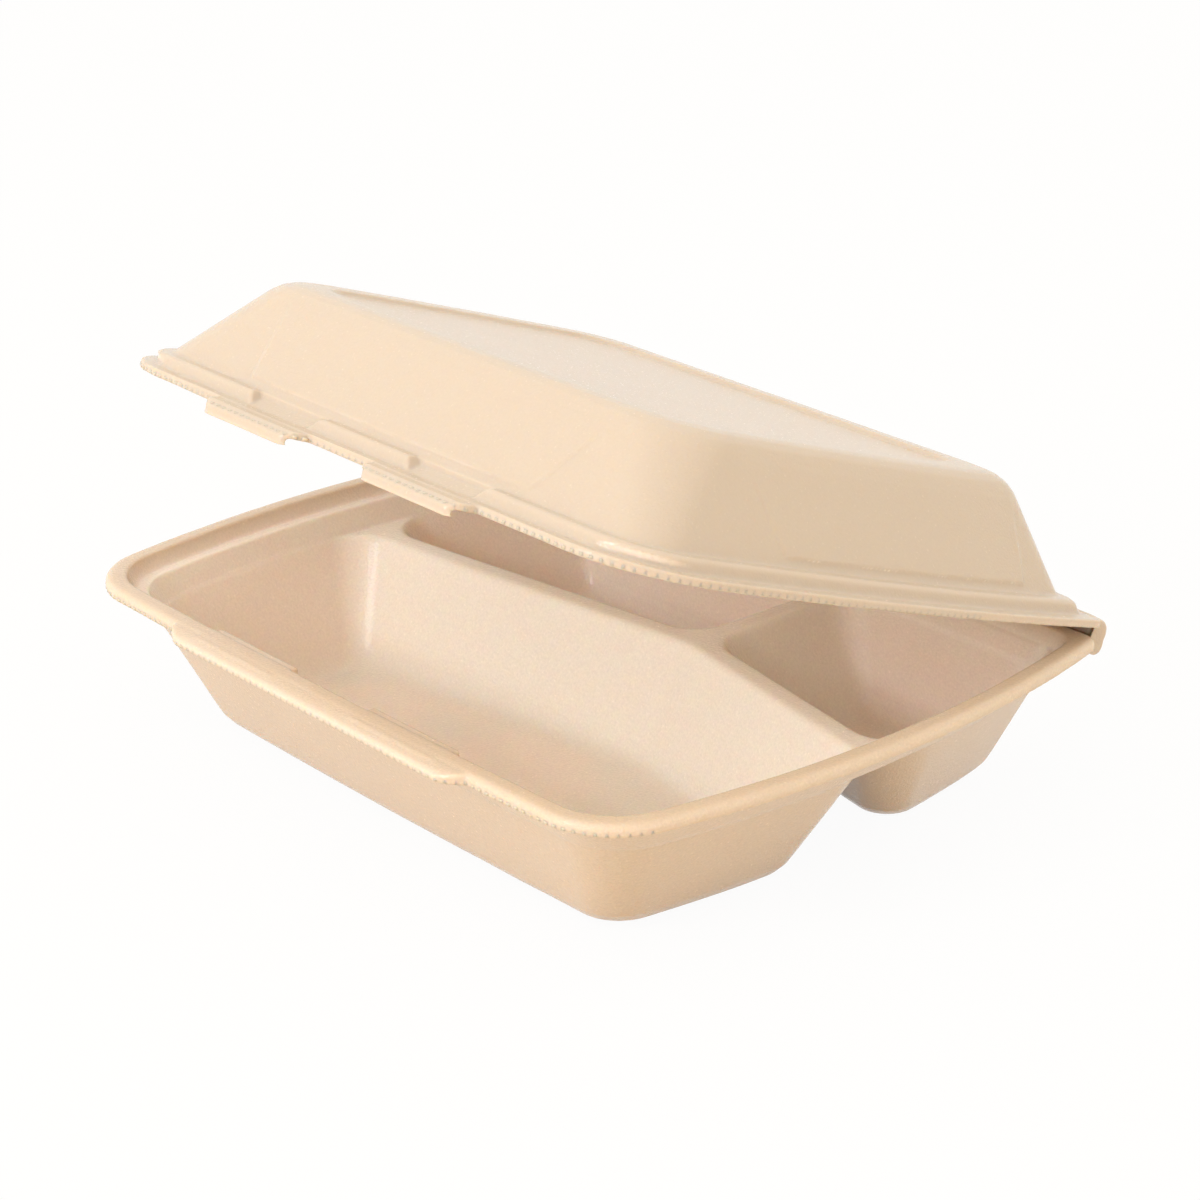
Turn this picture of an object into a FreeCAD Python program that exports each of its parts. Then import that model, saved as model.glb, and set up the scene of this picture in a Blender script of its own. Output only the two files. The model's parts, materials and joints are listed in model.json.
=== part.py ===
# Foam clamshell container with three compartments: the tray and its hinged lid, pressed in one sheet.
# Millimetres, +Z up, the tray stands on z = 0, the hinge runs along X at the back (+Y).

import FreeCAD, Part
import math
import os

V = FreeCAD.Vector

# The foam sheet
wall = 2.3                      # thickness of the foam in walls, floor and roof
edge_wall = 2.2                 # thickness of the rim where the sheet is cut
seam = 0.3                      # step between a compartment's wall and the wall above it

# Outline of the rim, seen from above
rim_half_width = 107.0          # half the width at the front and back corners
rim_front = -86.5               # y of the front corners before rounding
rim_back = 86.5                 # y of the edge beside the hinge
front_bow = 2.0                 # how far the front edge swells out
tray_side_bow = 11.0            # how far the tray's sides swell out
lid_side_bow = 6.0              # the lid's sides are a little straighter
tray_front_radius = 22.0        # front corners of the tray's rim
lid_front_radius = 29.0
back_radius = 4.0               # corners beside the hinge, nearly square

# Tray
tray_height = 44.3              # table to the top of the rim
rim_flat = 5.2                  # width of the flat top of the rim
rim_edge_drop = 1.4             # the rim rounds down to its cut edge
channel_depth = 4.5             # ledge inside the rim that the lid's bead stands over
channel_inset = 10.5            # rim edge to the top of the inner wall
channel_inset_back = 7.5
side_slope = 0.54               # run over rise of the side walls
front_slope = 0.45
back_slope = 0.16
floor_radius = 7.0              # between walls and floor
bowl_radius = 16.0              # vertical front corners of the inner wall
ledge_radius_back = 7.0

# Dividers between the compartments
divider_drop = 11.0             # top of the dividers below the top of the rim
divider_half = 3.5              # half the width of a divider where its slopes would meet the top
divider_slope = 0.45            # faces towards the small compartments
large_slope = 0.54              # face towards the large compartment
divider_round = 2.5             # rounding along a divider's top
fork_x = 20.0                   # where the dividers meet
fork_y = 24.5
divider_end_y = 8.5             # where the cross divider meets the side walls
large_radius = 12.0             # back corners of the large compartment
small_radius = 12.0             # corners of the two small compartments at the cross divider
small_radius_back = 9.0         # and at the back wall
corner_taper = 0.20             # the compartments' corners tighten towards the floor

# Latch on the front edge: lips of the tray and tabs of the lid
latch_centre = 33.0             # x of each latch, left and right
pad_half = 17.0                 # half the width of a flat pad on the tray
tab_half = 20.0                 # half the width of a tab on the lid
tab_round = 7.0                 # a tab's corners round off over this length
lip_half = 61.0                 # half the length of the tray's wide front lip
lip_reach = 3.7                 # how far the wide lip stands out
lip_round = 12.0                # the lip's ends run out over this length
pad_reach = 8.3                 # how far a flat latch pad runs in from the rim's edge
tab_gap = 0.8                   # between a lid tab and the tray's lip when shut
tab_wall = 1.8
tab_drop = 2.1                  # a tab's end below the lid's rim
gap_half = 12.0                 # the lid's bead is broken over this half width at each latch
gap_depth = 1.7                 # how far the sheet drops there
gap_run = 3.0                   # the broken ends of the bead slope down over this length

# Lid, measured when shut
rim_gap = 0.3                   # between the shut lid and the top of the tray's rim
lid_height = 32.5               # top of the tray's rim to the top of the lid
lid_flat = 4.5                  # width of the lid's flat rim
bead_rise = 3.6                 # step from the flat rim up to the bead
bead_inset = 10.0               # rim edge to the foot of the lid's wall
bead_inset_back = 7.3
lid_side_slope = 0.66
lid_back_slope = 0.41
roof_radius = 8.0
bead_radius = 18.0              # front corners of the bead
lid_front_corner = (12.0, 18.0) # radius of the lid's front corners at the foot and at the roof
lid_back_corner = (8.0, 12.0)
roof_panel_depth = 1.2          # shallow panel pressed into the roof
roof_panel_margin = 6.0
panel_rise_foot = 0.5           # raised panels on the lid's front and side walls stand out most
panel_rise_head = 0.15          # at the foot and fade towards the roof
panel_lift = 2.2                # foot of a panel above the bead
panel_head_drop = 4.8           # head of a panel below the roof
front_panel_half = 56.0         # half the width of the front panel at its foot
side_panel_front = -33.0        # y of the side panels' ends at their foot
side_panel_back = 59.0
panel_flare = 8.0               # a panel is this much wider on each side at its head
panel_flare_back = 2.0          # the side panels widen less at the back

# Hinge
hinge_y = 91.0
hinge_drop = 4.5                # hinge line below the top of the tray's rim
hinge_half = 100.0              # half the length of the hinge
crease_radius = 0.9             # the crease is pressed into a thin round line
leaf_wall = 1.4
lid_open_angle = 19.6           # how far the lid stands open, degrees

rim_z = tray_height
hinge_z = tray_height - hinge_drop


def circle_side(middle, swell, chord_half, outward):
    """A side of the outline that swells outward by an arc: centre and radius."""
    radius = (chord_half ** 2 + swell ** 2) / (2.0 * swell)
    return {"centre": middle + outward * (swell - radius), "radius": radius}


def line_side(point, inward):
    return {"point": point, "inward": inward.normalize()}


def depth_in(side, p):
    """Distance of a point inside a side, and the direction that leads further in."""
    if "radius" in side:
        away = p - side["centre"]
        return side["radius"] - away.Length, away.multiply(-1.0 / away.Length)
    return (p - side["point"]).dot(side["inward"]), V(side["inward"])


def point_inside(side_a, side_b, depth_a, depth_b, start):
    """The point that lies depth_a inside one side and depth_b inside the other."""
    p = V(start)
    for turn in range(12):
        a, da = depth_in(side_a, p)
        b, db = depth_in(side_b, p)
        det = da.x * db.y - da.y * db.x
        ra = depth_a - a
        rb = depth_b - b
        p = p + V((ra * db.y - rb * da.y) / det, (rb * da.x - ra * db.x) / det, 0)
    return p


def outline(sides, insets, radii, corners, z):
    """A closed wire at height z. Corner i lies between side i and side i + 1."""
    count = len(sides)
    centres = []
    for i in range(count):
        j = (i + 1) % count
        centres.append(point_inside(sides[i], sides[j], insets[i] + radii[i], insets[j] + radii[i], corners[i]))
    edges = []
    lift = V(0, 0, z)
    for i in range(count):
        before = i - 1
        after = (i + 1) % count
        start = centres[before] - depth_in(sides[i], centres[before])[1] * radii[before]
        end = centres[i] - depth_in(sides[i], centres[i])[1] * radii[i]
        if "radius" in sides[i]:
            middle = (start + end) * 0.5
            depth, inward = depth_in(sides[i], middle)
            middle = middle + inward * (insets[i] - depth)
            edges.append(Part.Arc(start + lift, middle + lift, end + lift).toShape())
        else:
            edges.append(Part.makeLine(start + lift, end + lift))
        turn_end = centres[i] - depth_in(sides[after], centres[i])[1] * radii[i]
        bisector = (end - centres[i]) + (turn_end - centres[i])
        turn_middle = centres[i] + bisector.normalize() * radii[i]
        edges.append(Part.Arc(end + lift, turn_middle + lift, turn_end + lift).toShape())
    return Part.Wire(edges)


def stack(sides, corners, levels):
    """A solid through outlines at rising heights. A level is (z, insets, radii)."""
    wires = [outline(sides, insets, radii, corners, z) for z, insets, radii in levels]
    solid = Part.makeLoft(wires, True, True)
    if solid.Volume < 0:
        solid.reverse()
    return solid


def rim_sides(side_bow):
    """Front, right, back and left of the rim, and the corners after each."""
    half_depth = (rim_back - rim_front) / 2.0
    middle_y = (rim_back + rim_front) / 2.0
    front = circle_side(V(0, rim_front, 0), front_bow, rim_half_width, V(0, -1, 0))
    right = circle_side(V(rim_half_width, middle_y, 0), side_bow, half_depth, V(1, 0, 0))
    left = circle_side(V(-rim_half_width, middle_y, 0), side_bow, half_depth, V(-1, 0, 0))
    back = line_side(V(0, rim_back, 0), V(0, -1, 0))
    w = rim_half_width
    corners = [V(w, rim_front, 0), V(w, rim_back, 0), V(-w, rim_back, 0), V(-w, rim_front, 0)]
    return [front, right, back, left], corners


def rim_level(z, inset, inset_back, front_r, back_r, inset_front=None):
    """One level of an outline that runs all round: insets by side, radii by corner."""
    if inset_front is None:
        inset_front = inset
    return z, [inset_front, inset, inset_back, inset], [front_r, back_r, back_r, front_r]


def slope_factor(slope):
    """Sideways thickness of a sloping wall over its true thickness."""
    return math.sqrt(1.0 + slope ** 2)


# Heights that the tray's walls are worked out from
ledge_z = rim_z - channel_depth
divider_z = rim_z - divider_drop


def wall_inset(side, z, skin):
    """Inset of one compartment wall at height z; skin is 0 inside and the wall outside."""
    spread = slope_factor(side["slope"])
    inset = side["inset"] + (side["height"] - z) * side["slope"]
    centre_z = wall + floor_radius
    centre = side["inset"] + (side["height"] - centre_z) * side["slope"] + floor_radius * spread
    radius = floor_radius + skin
    if z < centre_z - radius * side["slope"] / spread:
        return centre - math.sqrt(max(radius ** 2 - (centre_z - z) ** 2, 0.0))
    if side["divider"] and skin == 0.0:
        crest_centre_z = divider_z - divider_round
        crest_centre = side["inset"] + divider_round * side["slope"] - divider_round * spread
        if z > crest_centre_z + divider_round * side["slope"] / spread:
            return crest_centre + math.sqrt(max(divider_round ** 2 - (z - crest_centre_z) ** 2, 0.0))
    return inset - skin * spread


def compartment_levels(walls, radii, skin):
    """Levels of one compartment: its inside, or the foam around it."""
    low = wall - skin
    radius = floor_radius + skin
    heights = [low, low + 0.06 * radius, low + 0.22 * radius, low + 0.48 * radius, low + 0.85 * radius]
    if skin == 0.0:
        top = divider_z
        heights += [top - 0.9 * divider_round, top - 0.4 * divider_round, top - 0.1 * divider_round, top]
    else:
        top = divider_z - wall
        heights.append(top)
    levels = []
    for z in heights:
        tighter = (divider_z - z) * corner_taper
        levels.append((z, [wall_inset(w, z, skin) for w in walls], [r + skin - tighter for r in radii]))
    lift = 1.0
    levels.append((top + lift, levels[-1][1], levels[-1][2]))
    return levels


def outer_wall(side, slope, inset):
    return dict(side, slope=slope, inset=inset, height=ledge_z, divider=False)


def divider_wall(point, direction, inward, slope):
    """One face of a divider that runs through point; inward leads into the compartment."""
    normal = V(-direction.y, direction.x, 0)
    if normal.dot(inward) < 0:
        normal = normal * -1.0
    side = line_side(V(point), normal)
    return dict(side, slope=slope, inset=divider_half, height=divider_z, divider=True)


tray_sides, tray_corners = rim_sides(tray_side_bow)
front_wall = outer_wall(tray_sides[0], front_slope, channel_inset)
right_wall = outer_wall(tray_sides[1], side_slope, channel_inset)
back_wall = outer_wall(tray_sides[2], back_slope, channel_inset_back)
left_wall = outer_wall(tray_sides[3], side_slope, channel_inset)

fork = V(fork_x, fork_y, 0)
left_end = V(-rim_half_width, divider_end_y, 0)
right_end = V(rim_half_width, divider_end_y, 0)
left_run = left_end - fork
right_run = right_end - fork
back_run = V(0, 1, 0)

compartments = {
    "large": {
        "walls": [front_wall, right_wall, divider_wall(fork, right_run, V(0, -1, 0), large_slope),
                  divider_wall(fork, left_run, V(0, -1, 0), large_slope), left_wall],
        "corners": [tray_corners[0], right_end, fork, left_end, tray_corners[3]],
        "radii": [bowl_radius, large_radius, large_radius, large_radius, bowl_radius]},
    "right": {
        "walls": [divider_wall(fork, right_run, V(0, 1, 0), divider_slope), right_wall, back_wall,
                  divider_wall(fork, back_run, V(1, 0, 0), divider_slope)],
        "corners": [right_end, tray_corners[1], V(fork_x, rim_back, 0), fork],
        "radii": [small_radius, small_radius_back, small_radius_back, small_radius]},
    "left": {
        "walls": [divider_wall(fork, left_run, V(0, 1, 0), divider_slope),
                  divider_wall(fork, back_run, V(-1, 0, 0), divider_slope), back_wall, left_wall],
        "corners": [fork, V(fork_x, rim_back, 0), tray_corners[2], left_end],
        "radii": [small_radius, small_radius_back, small_radius_back, small_radius]},
}


def front_bar(x_from, x_to, profile, end_round=0.0):
    """A bar along the front edge with a profile of (distance out from the rim's edge, z)."""
    edge_y = rim_front - front_bow
    points = [V(x_from, edge_y - out, z) for out, z in profile]
    wire = Part.makePolygon(points + [points[0]])
    bar = Part.Face(wire).extrude(V(x_to - x_from, 0, 0))
    if end_round == 0.0:
        return bar
    reach = max(out for out, z in profile)
    back = min(out for out, z in profile)
    low = min(z for out, z in profile)
    high = max(z for out, z in profile)
    near = 1.0 - math.sqrt(0.5)

    def spot(x, out):
        return V(x, edge_y - out, low)

    left_end = Part.Arc(spot(x_from, 0), spot(x_from + near * end_round, (1.0 - near) * reach),
                        spot(x_from + end_round, reach)).toShape()
    right_end = Part.Arc(spot(x_to - end_round, reach), spot(x_to - near * end_round, (1.0 - near) * reach),
                         spot(x_to, 0)).toShape()
    plan = Part.Wire([left_end, Part.makeLine(spot(x_from + end_round, reach), spot(x_to - end_round, reach)),
                      right_end, Part.makeLine(spot(x_to, 0), spot(x_to, back)),
                      Part.makeLine(spot(x_to, back), spot(x_from, back)),
                      Part.makeLine(spot(x_from, back), spot(x_from, 0))])
    return bar.common(Part.Face(plan).extrude(V(0, 0, high - low)))


def make_tray():
    """The tray: rim, three compartments, wide front lip and its half of the hinge."""
    under = channel_inset - wall * slope_factor(side_slope)
    under_back = channel_inset_back - wall * slope_factor(back_slope)
    low_z = divider_z - wall
    low = under + (ledge_z - low_z) * side_slope - seam
    low_back = under_back + (ledge_z - low_z) * back_slope - seam
    low_front = channel_inset - wall * slope_factor(front_slope) + (ledge_z - low_z) * front_slope - seam
    rim_under = rim_z - rim_edge_drop - edge_wall
    ledge_under = ledge_z - edge_wall
    outside = stack(tray_sides, tray_corners, [
        rim_level(low_z, low, low_back, bowl_radius + wall, ledge_radius_back, low_front),
        rim_level(ledge_under, under, under_back, bowl_radius + wall, ledge_radius_back),
        rim_level(ledge_under + 0.4, under - 1.6, under_back - 1.2, bowl_radius + wall, ledge_radius_back),
        rim_level(rim_under - 0.2, rim_flat - 1.6, rim_flat - 1.6, tray_front_radius - 2.0, back_radius),
        rim_level(rim_under, 0.0, 0.0, tray_front_radius, back_radius),
        rim_level(rim_z - rim_edge_drop, 0.0, 0.0, tray_front_radius, back_radius),
        rim_level(rim_z - 0.35 * rim_edge_drop, 0.5, 0.5, tray_front_radius - 0.5, back_radius),
        rim_level(rim_z, 1.6, 1.6, tray_front_radius - 1.6, back_radius)])
    for room in compartments.values():
        outside = outside.fuse(stack(room["walls"], room["corners"],
                                     compartment_levels(room["walls"], room["radii"], wall)))
    lip_top = rim_z - rim_edge_drop
    lip = front_bar(-lip_half, lip_half, [
        (-rim_flat, rim_z - 0.4), (0.0, rim_z - 0.4), (lip_reach - 0.8, lip_top + 0.3), (lip_reach, lip_top - 0.5),
        (lip_reach, rim_under), (-rim_flat + 1.6, rim_under)], lip_round)
    outside = outside.fuse(lip)
    low_in = channel_inset + (ledge_z - divider_z) * side_slope - seam
    low_in_back = channel_inset_back + (ledge_z - divider_z) * back_slope - seam
    low_in_front = channel_inset + (ledge_z - divider_z) * front_slope - seam
    inside = stack(tray_sides, tray_corners, [
        rim_level(divider_z, low_in, low_in_back, bowl_radius, ledge_radius_back, low_in_front),
        rim_level(ledge_z, channel_inset - seam, channel_inset_back - seam, bowl_radius, ledge_radius_back),
        rim_level(ledge_z + 0.2, rim_flat + 2.4, rim_flat + 2.2, bowl_radius, ledge_radius_back),
        rim_level(rim_z - 0.9, rim_flat + 0.5, rim_flat + 0.5, bowl_radius + 2.0, ledge_radius_back),
        rim_level(rim_z, rim_flat, rim_flat, bowl_radius + 2.5, ledge_radius_back),
        rim_level(rim_z + 2.0, rim_flat - 0.5, rim_flat - 0.5, bowl_radius + 2.5, ledge_radius_back)])
    tray = outside.cut(inside)
    for room in compartments.values():
        tray = tray.cut(stack(room["walls"], room["corners"],
                              compartment_levels(room["walls"], room["radii"], 0.0)))
    for centre in (-latch_centre, latch_centre):
        pad = front_bar(centre - pad_half, centre + pad_half, [
            (-pad_reach, ledge_z - 0.6), (-pad_reach, rim_z - 0.6), (0.4, rim_z - 0.2), (0.4, rim_under + 0.2),
            (-rim_flat, rim_under + 0.2), (-rim_flat, ledge_z - 0.6)])
        tray = tray.fuse(pad)
    leaf = [(rim_back - 2.0, rim_under + 0.2), (rim_back - 2.0, rim_under + 0.2 + leaf_wall),
            (hinge_y - 0.3, hinge_z + 0.5 * leaf_wall), (hinge_y - 0.3, hinge_z - 0.5 * leaf_wall)]
    points = [V(-hinge_half, y, z) for y, z in leaf]
    leaf_body = Part.Face(Part.makePolygon(points + [points[0]])).extrude(V(2.0 * hinge_half, 0, 0))
    crease = Part.makeCylinder(crease_radius, 2.0 * hinge_half, V(-hinge_half, hinge_y, hinge_z), V(1, 0, 0))
    return tray.fuse(leaf_body).fuse(crease).removeSplitter()


def lid_inset(z, slope, foot_inset, skin):
    """Inset of a lid wall at height z, with the roof's edge rounded."""
    spread = slope_factor(slope)
    roof_z = rim_z + lid_height
    foot_z = rim_z + rim_gap + edge_wall + bead_rise
    centre_z = roof_z - roof_radius
    inset = foot_inset + (z - foot_z) * slope
    centre = foot_inset + (centre_z - foot_z) * slope + roof_radius * spread
    radius = roof_radius - skin
    if z > centre_z + radius * slope / spread:
        return centre - math.sqrt(max(radius ** 2 - (z - centre_z) ** 2, 0.0))
    return inset + skin * spread


def lid_level(z, skin):
    """One level of the lid's wall or roof; skin is 0 outside and the wall inside."""
    foot_z = rim_z + rim_gap + edge_wall + bead_rise
    share = (z - foot_z) / (lid_height - rim_gap - edge_wall - bead_rise)
    corners = [foot + (roof - foot) * share for foot, roof in (lid_front_corner, lid_back_corner)]
    inset = lid_inset(z, lid_side_slope, bead_inset, skin)
    inset_back = lid_inset(z, lid_back_slope, bead_inset_back, skin)
    return rim_level(z, inset, inset_back, corners[0], corners[1])


def lid_levels(skin):
    """Levels of the lid's wall and roof, from the foot of the wall up."""
    foot_z = rim_z + rim_gap + edge_wall + bead_rise
    top = rim_z + lid_height - skin
    radius = roof_radius - skin
    heights = [foot_z, top - 0.85 * radius, top - 0.48 * radius, top - 0.22 * radius, top - 0.06 * radius, top]
    return [lid_level(z, skin) for z in heights]


def panel_block(foot, head, z_foot, z_head):
    """The room that a wall panel fills: a block between a rectangle at its foot and one at its head."""
    wires = []
    for (x_low, x_high, y_low, y_high), z in ((foot, z_foot), (head, z_head)):
        points = [V(x_low, y_low, z), V(x_high, y_low, z), V(x_high, y_high, z), V(x_low, y_high, z)]
        wires.append(Part.makePolygon(points + [points[0]]))
    return Part.makeLoft(wires, True, True)


def wall_panels(sides, corners):
    """The three raised panels: a skin round the lid's walls, kept where a panel is."""
    foot_z = rim_z + rim_gap + edge_wall + bead_rise + panel_lift
    head_z = rim_z + lid_height - panel_head_drop
    middle_z = (foot_z + head_z) / 2.0
    levels = []
    for z in (foot_z, middle_z, head_z):
        share = (z - foot_z) / (head_z - foot_z)
        skin = -(panel_rise_foot + (panel_rise_head - panel_rise_foot) * share)
        levels.append(lid_level(z, skin))
    skin_body = stack(sides, corners, levels)
    far = rim_half_width + lid_side_bow
    wide = front_panel_half
    blocks = [panel_block((-wide, wide, -far, 0.0), (-wide - panel_flare, wide + panel_flare, -far, 0.0),
                          foot_z, head_z)]
    for low_x, high_x in ((-far, -rim_half_width / 2.0), (rim_half_width / 2.0, far)):
        blocks.append(panel_block((low_x, high_x, side_panel_front, side_panel_back),
                                  (low_x, high_x, side_panel_front - panel_flare,
                                   side_panel_back + panel_flare_back),
                                  foot_z, head_z))
    return [skin_body.common(block) for block in blocks]


def gap_block(centre, low, high):
    """The room over a gap in the bead, seen from the front: narrow below and wide above."""
    reach = gap_half + gap_run
    points = [V(centre - gap_half, -rim_half_width, low), V(centre + gap_half, -rim_half_width, low),
              V(centre + reach, -rim_half_width, high), V(centre - reach, -rim_half_width, high)]
    return Part.Face(Part.makePolygon(points + [points[0]])).extrude(V(0, rim_half_width, 0))


def make_lid():
    """The lid as it lies shut: rim, bead, walls, roof, two tabs and its half of the hinge."""
    sides, corners = rim_sides(lid_side_bow)
    low = rim_z + rim_gap
    flat = low + edge_wall
    foot_z = flat + bead_rise
    outside = stack(sides, corners, [
        rim_level(low, 0.0, 0.0, lid_front_radius, back_radius),
        rim_level(flat, 0.0, 0.0, lid_front_radius, back_radius),
        rim_level(flat + 0.15, lid_flat, lid_flat, lid_front_radius - lid_flat, back_radius),
        rim_level(foot_z - 0.8, lid_flat + 1.0, lid_flat + 0.8, bead_radius, back_radius + 2.0),
        rim_level(foot_z - 0.15, lid_flat + 2.0, lid_flat + 1.6, bead_radius, back_radius + 3.0)] + lid_levels(0.0))
    inside = stack(sides, corners, [
        rim_level(low - 1.0, lid_flat + 2.0, lid_flat + 2.0, bead_radius, back_radius + 2.0),
        rim_level(low, lid_flat + 2.0, lid_flat + 2.0, bead_radius, back_radius + 2.0),
        rim_level(foot_z - wall - 0.6, lid_flat + 3.0, lid_flat + 2.8, bead_radius, back_radius + 3.0),
        rim_level(foot_z - wall, bead_inset + 0.4, bead_inset_back + 0.9, lid_front_corner[0], lid_back_corner[0])]
        + lid_levels(wall))
    lid = outside
    roof_z = rim_z + lid_height
    roof_inset = lid_inset(roof_z, lid_side_slope, bead_inset, 0.0) + roof_panel_margin
    roof_back = lid_inset(roof_z, lid_back_slope, bead_inset_back, 0.0) + roof_panel_margin
    dip_sides = [
        rim_level(roof_z - roof_panel_depth, roof_inset + 1.2, roof_back + 1.2, 12.0, 12.0),
        rim_level(roof_z + 1.0, roof_inset - 0.8, roof_back - 0.8, 12.0, 12.0)]
    for panel in wall_panels(sides, corners):
        lid = lid.fuse(panel)
    lid = lid.cut(inside).cut(stack(sides, corners, dip_sides))
    reach = lip_reach + tab_gap
    for centre in (-latch_centre, latch_centre):
        bridge = front_bar(centre - gap_half - gap_run, centre + gap_half + gap_run, [
            (-lid_flat - 1.9, low), (-bead_inset - 2.0, low + 1.9), (-bead_inset - 2.0, foot_z - 0.8),
            (-bead_inset + 1.0, foot_z - 0.6), (-lid_flat, flat), (-lid_flat, low)])
        gap = front_bar(centre - gap_half - gap_run, centre + gap_half + gap_run, [
            (-bead_inset + 0.6, foot_z - gap_depth), (-bead_inset + 0.6, foot_z + 0.8), (0.0, foot_z + 0.8),
            (0.0, flat + 0.02), (-lid_flat, flat + 0.02)])
        gap = gap.common(gap_block(centre, flat, foot_z))
        tab = front_bar(centre - tab_half, centre + tab_half, [
            (-lid_flat + 1.0, low), (-lid_flat + 1.0, flat - 0.1), (reach - 0.6, flat - 0.3),
            (reach + tab_wall - 0.3, low + 0.4), (reach + tab_wall, low - tab_drop),
            (reach + 0.2, low - tab_drop), (reach, low)], tab_round)
        lid = lid.fuse(bridge).cut(gap).fuse(tab)
    clear = crease_radius + rim_gap
    leaf = [(rim_back - 2.0, low + 0.1), (rim_back - 2.0, low + 0.1 + leaf_wall),
            (hinge_y - 0.4, low + 0.1 + leaf_wall), (hinge_y + 0.5 * leaf_wall, low - 0.3),
            (hinge_y + 0.5 * leaf_wall, hinge_z + clear), (hinge_y - 0.5 * leaf_wall, hinge_z + clear),
            (hinge_y - 0.5 * leaf_wall, low + 0.1)]
    points = [V(-hinge_half, y, z) for y, z in leaf]
    leaf_body = Part.Face(Part.makePolygon(points + [points[0]])).extrude(V(2.0 * hinge_half, 0, 0))
    return lid.fuse(leaf_body).removeSplitter()


def save(shape, node):
    solid = shape if shape.ShapeType == "Solid" else shape.Solids[0]
    solid.exportStep("parts/" + node + ".step")
    print(node, "solids", len(shape.Solids), "valid", shape.isValid(), "volume cm3", round(shape.Volume / 1000.0, 1))


os.makedirs("parts", exist_ok=True)
save(make_tray(), "base_tray")
lid_shape = make_lid()
lid_shape.rotate(V(0, hinge_y, hinge_z), V(1, 0, 0), -lid_open_angle)
save(lid_shape, "hinged_lid")
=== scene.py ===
import bpy
import bmesh
import json
import math
from mathutils import Matrix, Vector


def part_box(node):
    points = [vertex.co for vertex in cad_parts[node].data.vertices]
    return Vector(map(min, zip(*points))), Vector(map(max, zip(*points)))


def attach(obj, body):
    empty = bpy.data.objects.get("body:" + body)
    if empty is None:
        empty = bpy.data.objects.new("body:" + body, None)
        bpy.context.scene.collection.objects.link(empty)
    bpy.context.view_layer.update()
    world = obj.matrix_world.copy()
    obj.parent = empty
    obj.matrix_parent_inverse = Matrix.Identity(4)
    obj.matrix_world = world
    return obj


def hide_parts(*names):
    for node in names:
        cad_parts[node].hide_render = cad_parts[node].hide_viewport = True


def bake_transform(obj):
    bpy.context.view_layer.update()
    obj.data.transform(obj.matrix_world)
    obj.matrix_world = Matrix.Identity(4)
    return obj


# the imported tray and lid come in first, everything else is fitted to them
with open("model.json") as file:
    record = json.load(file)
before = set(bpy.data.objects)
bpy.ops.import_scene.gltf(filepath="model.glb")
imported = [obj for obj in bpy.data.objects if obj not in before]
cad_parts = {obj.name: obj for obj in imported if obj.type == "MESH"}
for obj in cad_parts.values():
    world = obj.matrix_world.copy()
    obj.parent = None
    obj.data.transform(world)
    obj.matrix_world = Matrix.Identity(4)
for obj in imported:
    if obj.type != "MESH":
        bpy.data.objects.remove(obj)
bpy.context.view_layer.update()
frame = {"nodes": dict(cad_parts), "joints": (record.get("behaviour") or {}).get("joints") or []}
scene = bpy.context.scene
mm = 0.001

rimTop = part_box("base_tray")[1].z
lidHinge = frame["joints"][0]
hinge = Vector(lidHinge["pos_m"])
# the lid stands this far open at rest, and its joint closes it by as much
openAngle = -math.radians(lidHinge["range_deg"][0])
shutLid = (Matrix.Translation(hinge) @ Matrix.Rotation(openAngle, 4, "X")
           @ Matrix.Translation(-hinge))
openLid = shutLid.inverted()


def addNode(tree, kind, place, **settings):
    node = tree.nodes.new(kind)
    node.location = place
    for key, value in settings.items():
        setattr(node, key, value)
    return node


def addSockets(tree, inputs, outputs):
    for label, kind, value in inputs:
        socket = tree.interface.new_socket(label, in_out="INPUT", socket_type=kind)
        if value is not None:
            socket.default_value = value
    for label, kind in outputs:
        tree.interface.new_socket(label, in_out="OUTPUT", socket_type=kind)


def linkAll(tree, pairs):
    for source, target in pairs:
        tree.links.new(source, target)


def linkObject(name, data):
    piece = bpy.data.objects.new(name, data)
    scene.collection.objects.link(piece)
    return piece


def bakeModifiers(piece):
    # the evaluated shape becomes a plain mesh and the modifiers go
    bpy.context.view_layer.update()
    graph = bpy.context.evaluated_depsgraph_get()
    mesh = bpy.data.meshes.new_from_object(piece.evaluated_get(graph))
    piece.modifiers.clear()
    piece.data = mesh
    for face in mesh.polygons:
        face.use_smooth = True


# Foam: one finish for the tray, one for the lid and the fold, sharing one grain.
# The grain is fine specks over slow waves; glowReach is how far light spreads, in metres.
grainShape = {"speckDetail": 1.0, "speckRoughness": 0.6, "waveScale": 60.0, "waveDetail": 0.0}
# The outside colour is the foam's colour darkened with painted shade, and the inside colour is
# the foam's colour made paler with painted light.
trayLook = {"outsideShadedFoamColour": (0.71, 0.56, 0.43, 1),
            "insideLitFoamColour": (0.93, 0.82, 0.73, 1),
            "speckle": 0.09, "beadSize": 0.0007, "grain": 1.0, "waviness": 0.5,
            "bump": 0.7, "bumpDepth": 0.0002,
            "roughness": 0.25, "roughnessSpread": 0.05, "refraction": 1.45,
            "glow": 1.0, "glowReach": (0.0015, 0.0011, 0.0007)}
lidLook = dict(trayLook, speckle=0.03, bump=0.4, outsideShadedFoamColour=(0.655, 0.535, 0.435, 1))


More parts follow.
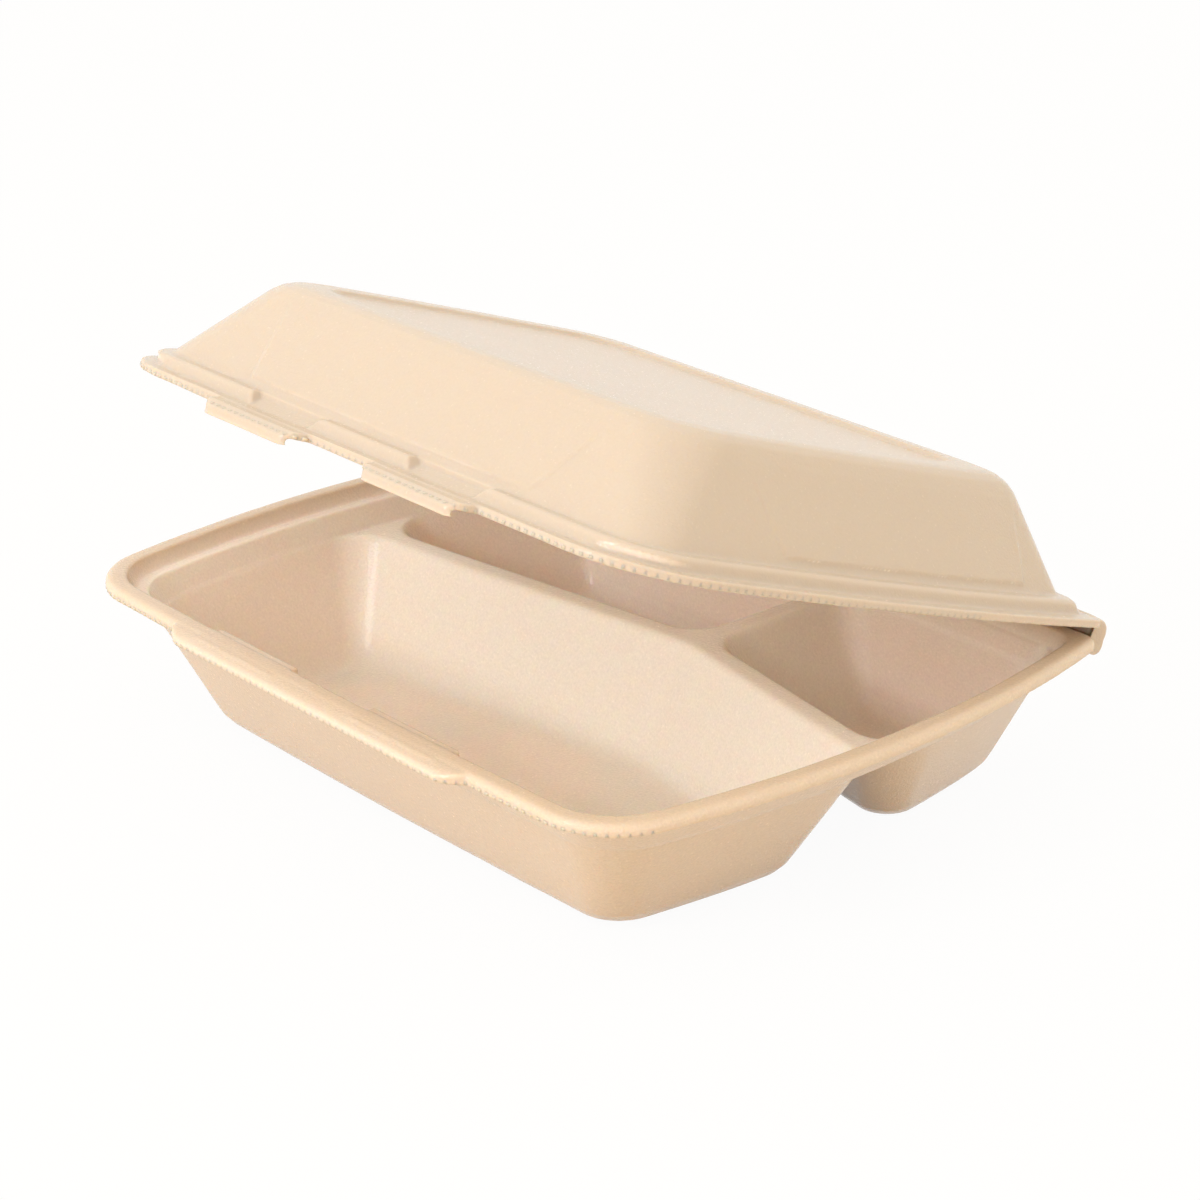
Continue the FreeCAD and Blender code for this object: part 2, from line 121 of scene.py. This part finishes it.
def grainTree():
    tree = bpy.data.node_groups.new("foamGrain", "ShaderNodeTree")
    addSockets(tree,
               [("Coordinates", "NodeSocketVector", None),
                ("Bead Size", "NodeSocketFloat", trayLook["beadSize"]),
                ("Grain", "NodeSocketFloat", trayLook["grain"]),
                ("Waviness", "NodeSocketFloat", trayLook["waviness"])],
               [("Height", "NodeSocketFloat"), ("Tone", "NodeSocketFloat")])
    given = addNode(tree, "NodeGroupInput", (-900, 0))
    result = addNode(tree, "NodeGroupOutput", (700, 0))
    density = addNode(tree, "ShaderNodeMath", (-700, -100), operation="DIVIDE")
    density.inputs[0].default_value = 1.0
    specks = addNode(tree, "ShaderNodeTexNoise", (-450, 0))
    specks.inputs["Detail"].default_value = grainShape["speckDetail"]
    specks.inputs["Roughness"].default_value = grainShape["speckRoughness"]
    waves = addNode(tree, "ShaderNodeTexNoise", (-450, -400))
    waves.inputs["Scale"].default_value = grainShape["waveScale"]
    waves.inputs["Detail"].default_value = grainShape["waveDetail"]
    scaleGrain = addNode(tree, "ShaderNodeMath", (0, 50), operation="MULTIPLY")
    scaleWaves = addNode(tree, "ShaderNodeMath", (0, -250), operation="MULTIPLY")
    sumHeight = addNode(tree, "ShaderNodeMath", (250, 0), operation="ADD")
    linkAll(tree, [(given.outputs["Bead Size"], density.inputs[1]),
                   (density.outputs[0], specks.inputs["Scale"]),
                   (given.outputs["Coordinates"], specks.inputs["Vector"]),
                   (given.outputs["Coordinates"], waves.inputs["Vector"]),
                   (specks.outputs["Fac"], scaleGrain.inputs[0]),
                   (given.outputs["Grain"], scaleGrain.inputs[1]),
                   (waves.outputs["Fac"], scaleWaves.inputs[0]),
                   (given.outputs["Waviness"], scaleWaves.inputs[1]),
                   (scaleGrain.outputs[0], sumHeight.inputs[0]),
                   (scaleWaves.outputs[0], sumHeight.inputs[1]),
                   (sumHeight.outputs[0], result.inputs["Height"]),
                   (specks.outputs["Fac"], result.inputs["Tone"])])
    return tree


def foamMaterial(name, look):
    material = bpy.data.materials.new(name)
    material.use_nodes = True
    tree = material.node_tree
    shader = tree.nodes["Principled BSDF"]
    shader.inputs["IOR"].default_value = look["refraction"]
    shader.inputs["Subsurface Weight"].default_value = look["glow"]
    shader.inputs["Subsurface Radius"].default_value = look["glowReach"]
    shader.inputs["Subsurface Scale"].default_value = 1.0
    coordinates = addNode(tree, "ShaderNodeTexCoord", (-1100, 0))
    grain = addNode(tree, "ShaderNodeGroup", (-850, 0), node_tree=grainGroup)
    grain.inputs["Bead Size"].default_value = look["beadSize"]
    grain.inputs["Grain"].default_value = look["grain"]
    grain.inputs["Waviness"].default_value = look["waviness"]
    # painted light and shade: the mask gives the food side the paler painted-light colour and
    # the outside the darker painted-shade colour
    paintedLightNode = addNode(tree, "ShaderNodeAttribute", (-1100, 400), attribute_name="paintedLightMask")
    skin = addNode(tree, "ShaderNodeMix", (-700, 350), data_type="RGBA")
    skin.inputs["A"].default_value = look["outsideShadedFoamColour"]
    skin.inputs["B"].default_value = look["insideLitFoamColour"]
    speckle = addNode(tree, "ShaderNodeMapRange", (-700, 150))
    speckle.inputs["To Min"].default_value = 1.0 - look["speckle"]
    speckle.inputs["To Max"].default_value = 1.0 + look["speckle"]
    tone = addNode(tree, "ShaderNodeVectorMath", (-350, 250), operation="SCALE")
    gloss = addNode(tree, "ShaderNodeMapRange", (-500, -50))
    gloss.inputs["To Min"].default_value = look["roughness"] - look["roughnessSpread"]
    gloss.inputs["To Max"].default_value = look["roughness"] + look["roughnessSpread"]
    bump = addNode(tree, "ShaderNodeBump", (-500, -300))
    bump.inputs["Strength"].default_value = look["bump"]
    bump.inputs["Distance"].default_value = look["bumpDepth"]
    linkAll(tree, [(coordinates.outputs["Object"], grain.inputs["Coordinates"]),
                   (paintedLightNode.outputs["Fac"], skin.inputs["Factor"]),
                   (grain.outputs["Tone"], speckle.inputs["Value"]),
                   (skin.outputs["Result"], tone.inputs["Vector"]),
                   (speckle.outputs["Result"], tone.inputs["Scale"]),
                   (grain.outputs["Tone"], gloss.inputs["Value"]),
                   (grain.outputs["Height"], bump.inputs["Height"]),
                   (tone.outputs["Vector"], shader.inputs["Base Color"]),
                   (gloss.outputs["Result"], shader.inputs["Roughness"]),
                   (bump.outputs["Normal"], shader.inputs["Normal"])])
    return material


grainGroup = grainTree()
trayFoam = foamMaterial("trayFoam", trayLook)
lidFoam = foamMaterial("lidFoam", lidLook)
print("foam finishes made")

# Tray and lid: the imported shapes with the soft edges and skin of moulded foam.
# The paler inside colour is painted light on the food side, and the darker outside colour is
# painted shade; the painted light fades out near the rim, within the set fade distance.
shellShape = {"weld": 0.002 * mm, "voxel": 0.5 * mm, "softening": 0.5, "rounds": 5,
              "ripple": 0.25 * mm, "rippleSize": 0.03, "keepFaces": 0.13,
              "paintedLightFade": 5 * mm, "paintedLightStart": 0.5, "paintedLightSteepness": 2.5}


def markPaintedLight(mesh, place, foodSide):
    # painted light and shade: 1 on the food side of the sheet where it faces up, which takes the
    # paler painted-light colour, and 0 on the outside and on the rims, which keep the darker
    # painted-shade colour; foodSide is 1 where the food side faces up and -1 where it faces down
    paintedLightMask = mesh.attributes.new("paintedLightMask", "FLOAT", "POINT")
    turn = place.to_3x3()
    start, steepness = shellShape["paintedLightStart"], shellShape["paintedLightSteepness"]
    facing = [start + steepness * (turn @ v.normal).z * foodSide for v in mesh.vertices]
    fromRim = [abs((place @ v.co).z - rimTop) / shellShape["paintedLightFade"]
               for v in mesh.vertices]
    values = [max(0.0, min(1.0, f)) * min(1.0, r) for f, r in zip(facing, fromRim)]
    paintedLightMask.data.foreach_set("value", values)


def weldedCopy(node, name):
    mesh = frame["nodes"][node].data.copy()
    mesh.name = name
    weld = bmesh.new()
    weld.from_mesh(mesh)
    bmesh.ops.remove_doubles(weld, verts=weld.verts, dist=shellShape["weld"])
    weld.to_mesh(mesh)
    weld.free()
    mesh.materials.clear()
    return mesh


def foamShell(node, name, body, material, place, foodSide):
    mesh = weldedCopy(node, name)
    mesh.materials.append(material)
    shell = linkObject(name, mesh)
    skin = shell.modifiers.new("skin", "REMESH")
    skin.mode = "VOXEL"
    skin.voxel_size = shellShape["voxel"]
    soft = shell.modifiers.new("soft", "SMOOTH")
    soft.factor = shellShape["softening"]
    soft.iterations = shellShape["rounds"]
    ripple = shell.modifiers.new("ripple", "DISPLACE")
    ripple.texture = bpy.data.textures.new(name + "Ripple", "CLOUDS")
    ripple.texture.noise_scale = shellShape["rippleSize"]
    ripple.strength = shellShape["ripple"]
    fewer = shell.modifiers.new("fewer", "DECIMATE")
    fewer.ratio = shellShape["keepFaces"]
    bakeModifiers(shell)
    markPaintedLight(shell.data, place, foodSide)
    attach(shell, body)
    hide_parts(node)
    shell.data.calc_loop_triangles()
    print(name, "triangles", len(shell.data.loop_triangles))
    return shell


trayShell = foamShell("base_tray", "trayShell", "tray", trayFoam,
                      Matrix.Identity(4), 1.0)
lidShell = foamShell("hinged_lid", "lidShell", "lid", lidFoam, shutLid, -1.0)

# Fold between tray and lid, one sheet that bends round the hinge line. Its runs are
# (y, z) in mm from the hinge, the lid's with the lid shut.
foldShape = {"trayRun": [(-5.5, 0.7), (-3.0, -1.0), (-1.2, -2.2), (0.4, -1.9), (1.2, -0.4),
                         (1.3, 1.0)],
             "lidRun": [(1.35, 2.4), (1.3, 3.8), (0.9, 5.2), (-0.6, 6.2), (-3.2, 6.5)],
             "halfLength": 104 * mm, "endStart": 97 * mm, "endDraw": 1.0 * mm,
             "steps": 40, "smoothing": 2, "thickness": 1.2 * mm, "bendReach": 1.6 * mm}


def foldSheet(path):
    build = bmesh.new()
    rows = []
    steps, halfLength = foldShape["steps"], foldShape["halfLength"]
    endLength = halfLength - foldShape["endStart"]
    for i in range(steps + 1):
        # rows lie closer near the ends, where the fold draws in behind the rim's corners
        x = halfLength * math.sin(math.pi * (i / steps - 0.5))
        past = max(0.0, (abs(x) - foldShape["endStart"]) / endLength)
        draw = foldShape["endDraw"] * past ** 2
        rows.append([build.verts.new((x, p.y - draw, p.z)) for p in path])
    for left, right in zip(rows, rows[1:]):
        for i in range(len(path) - 1):
            build.faces.new((left[i], right[i], right[i + 1], left[i + 1]))
    build.faces.new(rows[0])
    build.faces.new(rows[-1])
    bmesh.ops.recalc_face_normals(build, faces=build.faces)
    mesh = bpy.data.meshes.new("hingeFold")
    build.to_mesh(mesh)
    build.free()
    return mesh


def hingeFold():
    path = [hinge + Vector((0, y, z)) * mm for y, z in foldShape["trayRun"]]
    path += [openLid @ (hinge + Vector((0, y, z)) * mm) for y, z in foldShape["lidRun"]]
    mesh = foldSheet(path)
    mesh.materials.append(lidFoam)
    fold = linkObject("hingeFold", mesh)
    thick = fold.modifiers.new("thick", "SOLIDIFY")
    thick.thickness = foldShape["thickness"]
    thick.offset = 0.0
    smooth = fold.modifiers.new("smooth", "SUBSURF")
    smooth.levels = foldShape["smoothing"]
    smooth.render_levels = foldShape["smoothing"]
    bakeModifiers(fold)
    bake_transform(fold)


hingeFold()
print("hinge fold made")

# Serrations of the cut edge: fine upright ribs that follow each rim's outline, at a level
# from the tray's top with the lid shut, and only in front of a line across the box
ribShape = {"pitch": 2.6 * mm, "radius": 0.9 * mm, "height": 0.8 * mm,
            "standOut": 0.04 * mm, "sides": 16,
            "trayLevel": -2.7 * mm, "trayBackLimit": -70 * mm,
            "lidLevel": 1.1 * mm, "lidBackLimit": 30 * mm}


def ribTree():
    tree = bpy.data.node_groups.new("rimRibs", "GeometryNodeTree")
    addSockets(tree,
               [("Geometry", "NodeSocketGeometry", None),
                ("Pitch", "NodeSocketFloat", ribShape["pitch"]),
                ("Radius", "NodeSocketFloat", ribShape["radius"]),
                ("Height", "NodeSocketFloat", ribShape["height"]),
                ("Sides", "NodeSocketInt", ribShape["sides"]),
                ("Back Limit", "NodeSocketFloat", ribShape["lidBackLimit"]),
                ("Material", "NodeSocketMaterial", None)],
               [("Geometry", "NodeSocketGeometry")])
    given = addNode(tree, "NodeGroupInput", (-900, 0))
    result = addNode(tree, "NodeGroupOutput", (900, 0))
    toCurve = addNode(tree, "GeometryNodeMeshToCurve", (-700, 100))
    resample = addNode(tree, "GeometryNodeResampleCurve", (-500, 100), mode="LENGTH")
    tangent = addNode(tree, "GeometryNodeInputTangent", (-500, -150))
    turn = addNode(tree, "FunctionNodeAlignRotationToVector", (-300, -150),
                   axis="X", pivot_axis="Z")
    rib = addNode(tree, "GeometryNodeMeshCylinder", (-500, -350))
    where = addNode(tree, "GeometryNodeInputPosition", (-700, -550))
    split = addNode(tree, "ShaderNodeSeparateXYZ", (-500, -650))
    isFront = addNode(tree, "FunctionNodeCompare", (-300, -550), operation="LESS_THAN")
    place = addNode(tree, "GeometryNodeInstanceOnPoints", (0, 100))
    realize = addNode(tree, "GeometryNodeRealizeInstances", (250, 100))
    paint = addNode(tree, "GeometryNodeSetMaterial", (500, 100))
    linkAll(tree, [(given.outputs["Geometry"], toCurve.inputs["Mesh"]),
                   (toCurve.outputs["Curve"], resample.inputs["Curve"]),
                   (given.outputs["Pitch"], resample.inputs["Length"]),
                   (tangent.outputs[0], turn.inputs["Vector"]),
                   (given.outputs["Radius"], rib.inputs["Radius"]),
                   (given.outputs["Height"], rib.inputs["Depth"]),
                   (given.outputs["Sides"], rib.inputs["Vertices"]),
                   (where.outputs[0], split.inputs[0]),
                   (split.outputs["Y"], isFront.inputs["A"]),
                   (given.outputs["Back Limit"], isFront.inputs["B"]),
                   (resample.outputs["Curve"], place.inputs["Points"]),
                   (isFront.outputs[0], place.inputs["Selection"]),
                   (rib.outputs["Mesh"], place.inputs["Instance"]),
                   (turn.outputs[0], place.inputs["Rotation"]),
                   (place.outputs["Instances"], realize.inputs["Geometry"]),
                   (realize.outputs["Geometry"], paint.inputs["Geometry"]),
                   (given.outputs["Material"], paint.inputs["Material"]),
                   (paint.outputs["Geometry"], result.inputs["Geometry"])])
    return tree


def rimOutline(shell, height, place):
    # the outer line of a rim at one height, read from the finished shell laid level
    cut = bmesh.new()
    cut.from_mesh(shell.data)
    bmesh.ops.transform(cut, matrix=place, verts=cut.verts)
    sliced = bmesh.ops.bisect_plane(cut, geom=cut.verts[:] + cut.edges[:] + cut.faces[:],
                                    plane_co=(0, 0, height), plane_no=(0, 0, 1))
    # a dict keeps its order, so every run starts at the same edge
    left = dict.fromkeys(e for e in sliced["geom_cut"] if isinstance(e, bmesh.types.BMEdge))
    loops = []
    while left:
        start = left.popitem()[0]
        chain = [start.verts[0], start.verts[1]]
        grown = True
        while grown:
            grown = False
            for e in chain[-1].link_edges:
                if e in left:
                    del left[e]
                    chain.append(e.other_vert(chain[-1]))
                    grown = True
                    break
        loops.append([v.co.copy() for v in chain])
    cut.free()
    return max(loops, key=lambda loop: max(p.x for p in loop) - min(p.x for p in loop))


def rimRibs(name, shell, body, height, backLimit, place, material):
    loop = rimOutline(shell, height, place)
    centre = sum(loop, Vector()) / len(loop)
    sink = ribShape["radius"] - ribShape["standOut"]
    points = [p + (centre - p).normalized() * sink for p in loop]
    count = len(points)
    mesh = bpy.data.meshes.new(name)
    mesh.from_pydata(points, [(i, (i + 1) % count) for i in range(count)], [])
    ribs = linkObject(name, mesh)
    line = ribs.modifiers.new("ribs", "NODES")
    line.node_group = ribGroup
    socketOf = {s.name: s.identifier for s in ribGroup.interface.items_tree
                if s.in_out == "INPUT"}
    line[socketOf["Material"]] = material
    line[socketOf["Back Limit"]] = backLimit
    bakeModifiers(ribs)
    ribs.data.transform(place.inverted())
    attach(ribs, body)
    print(name, "ribs along", len(loop), "points")


ribGroup = ribTree()
rimRibs("trayRimRibs", trayShell, "tray", rimTop + ribShape["trayLevel"],
        ribShape["trayBackLimit"], Matrix.Identity(4), trayFoam)
rimRibs("lidRimRibs", lidShell, "lid", rimTop + ribShape["lidLevel"],
        ribShape["lidBackLimit"], shutLid, lidFoam)

# Floor, backdrop and light. Azimuth 0 is the box's front, and power is in watts.
stageLook = {"floorColour": (0.82, 0.74, 0.63, 1), "floorGlow": 0.95, "floorHalf": 6,
             "ambient": 1.08, "ambientTint": (1.0, 0.955, 0.82, 1),
             "white": (1, 1, 1, 1), "whiteStrength": 1.0}
lampLook = {"keyLamp": {"power": 6.2, "colour": (0.88, 0.94, 1.0),
                        "width": 0.30, "height": 0.30, "distance": 1.4,
                        "azimuth": -6.0, "elevation": 27.0},
            "topLamp": {"power": 3.0, "colour": (1.0, 1.0, 1.0),
                        "width": 1.0, "height": 0.8, "distance": 1.4,
                        "azimuth": 10.0, "elevation": 55.0}}


def direction(azimuth, elevation):
    a, e = math.radians(azimuth), math.radians(elevation)
    return Vector((math.sin(a) * math.cos(e), -math.cos(a) * math.cos(e), math.sin(e)))


def seenWhite(tree, place):
    # 1 where a ray comes straight from the camera, from a reflection or through
    # something clear
    paths = addNode(tree, "ShaderNodeLightPath", place)
    both = addNode(tree, "ShaderNodeMath", (place[0] + 200, place[1]), operation="MAXIMUM")
    either = addNode(tree, "ShaderNodeMath", (place[0] + 400, place[1]), operation="MAXIMUM")
    linkAll(tree, [(paths.outputs["Is Camera Ray"], both.inputs[0]),
                   (paths.outputs["Is Glossy Ray"], both.inputs[1]),
                   (both.outputs[0], either.inputs[0]),
                   (paths.outputs["Is Transmission Ray"], either.inputs[1])])
    return either.outputs[0]


def whiteFloor():
    half = stageLook["floorHalf"]
    mesh = bpy.data.meshes.new("floor")
    mesh.from_pydata([(-half, -half, 0), (half, -half, 0), (half, half, 0), (-half, half, 0)],
                     [], [(0, 1, 2, 3)])
    floor = linkObject("floor", mesh)
    material = bpy.data.materials.new("paleFloor")
    material.use_nodes = True
    tree = material.node_tree
    tree.nodes.remove(tree.nodes["Principled BSDF"])
    output = tree.nodes["Material Output"]
    plain = addNode(tree, "ShaderNodeBsdfDiffuse", (-300, 100))
    plain.inputs["Color"].default_value = stageLook["floorColour"]
    glow = addNode(tree, "ShaderNodeEmission", (-300, -100))
    glow.inputs["Strength"].default_value = stageLook["whiteStrength"]
    share = addNode(tree, "ShaderNodeMath", (-300, 250), operation="MULTIPLY")
    share.inputs[1].default_value = stageLook["floorGlow"]
    blend = addNode(tree, "ShaderNodeMixShader", (-50, 50))
    linkAll(tree, [(seenWhite(tree, (-1000, 250)), share.inputs[0]),
                   (share.outputs[0], blend.inputs[0]),
                   (plain.outputs[0], blend.inputs[1]),
                   (glow.outputs[0], blend.inputs[2]),
                   (blend.outputs[0], output.inputs["Surface"])])
    mesh.materials.append(material)


def softLight():
    world = bpy.data.worlds.new("softRoom")
    scene.world = world
    world.use_nodes = True
    tree = world.node_tree
    ambient = tree.nodes["Background"]
    ambient.inputs["Color"].default_value = stageLook["ambientTint"]
    ambient.inputs["Strength"].default_value = stageLook["ambient"]
    white = addNode(tree, "ShaderNodeBackground", (0, -150))
    white.inputs["Color"].default_value = stageLook["white"]
    white.inputs["Strength"].default_value = stageLook["whiteStrength"]
    blend = addNode(tree, "ShaderNodeMixShader", (250, 100))
    linkAll(tree, [(seenWhite(tree, (-500, 300)), blend.inputs[0]),
                   (ambient.outputs[0], blend.inputs[1]),
                   (white.outputs[0], blend.inputs[2]),
                   (blend.outputs[0], tree.nodes["World Output"].inputs["Surface"])])


def softLamp(name, look):
    lamp = bpy.data.lights.new(name, "AREA")
    lamp.shape = "RECTANGLE"
    lamp.size = look["width"]
    lamp.size_y = look["height"]
    lamp.energy = look["power"]
    lamp.color = look["colour"]
    holder = linkObject(name, lamp)
    away = direction(look["azimuth"], look["elevation"])
    holder.location = Vector((0, 0, rimTop)) + away * look["distance"]
    holder.rotation_mode = "QUATERNION"
    holder.rotation_quaternion = away.to_track_quat("Z", "Y")


whiteFloor()
softLight()
for lampName, look in lampLook.items():
    softLamp(lampName, look)

# Camera at the photograph's angle, aimed at a point in the box; lens and film in mm
cameraSetup = {"azimuth": 49.18, "elevation": 22.57, "roll": -0.34, "distance": 0.841,
               "target": (0.0036, 0.0046, 0.0451), "lens": 94.5, "film": 36.0}


def placeCamera():
    data = bpy.data.cameras.new("photoCamera")
    data.lens = cameraSetup["lens"]
    data.sensor_width = cameraSetup["film"]
    camera = linkObject("photoCamera", data)
    back = direction(cameraSetup["azimuth"], cameraSetup["elevation"])
    level = Vector((0, 0, 1)).cross(back).normalized()
    roll = Matrix.Rotation(math.radians(cameraSetup["roll"]), 3, back)
    right = roll @ level
    up = back.cross(right)
    place = Matrix((right, up, back)).transposed().to_4x4()
    place.translation = Vector(cameraSetup["target"]) + back * cameraSetup["distance"]
    camera.matrix_world = place
    scene.camera = camera


placeCamera()
scene.view_settings.view_transform = "Standard"
print("stage, light and camera set")
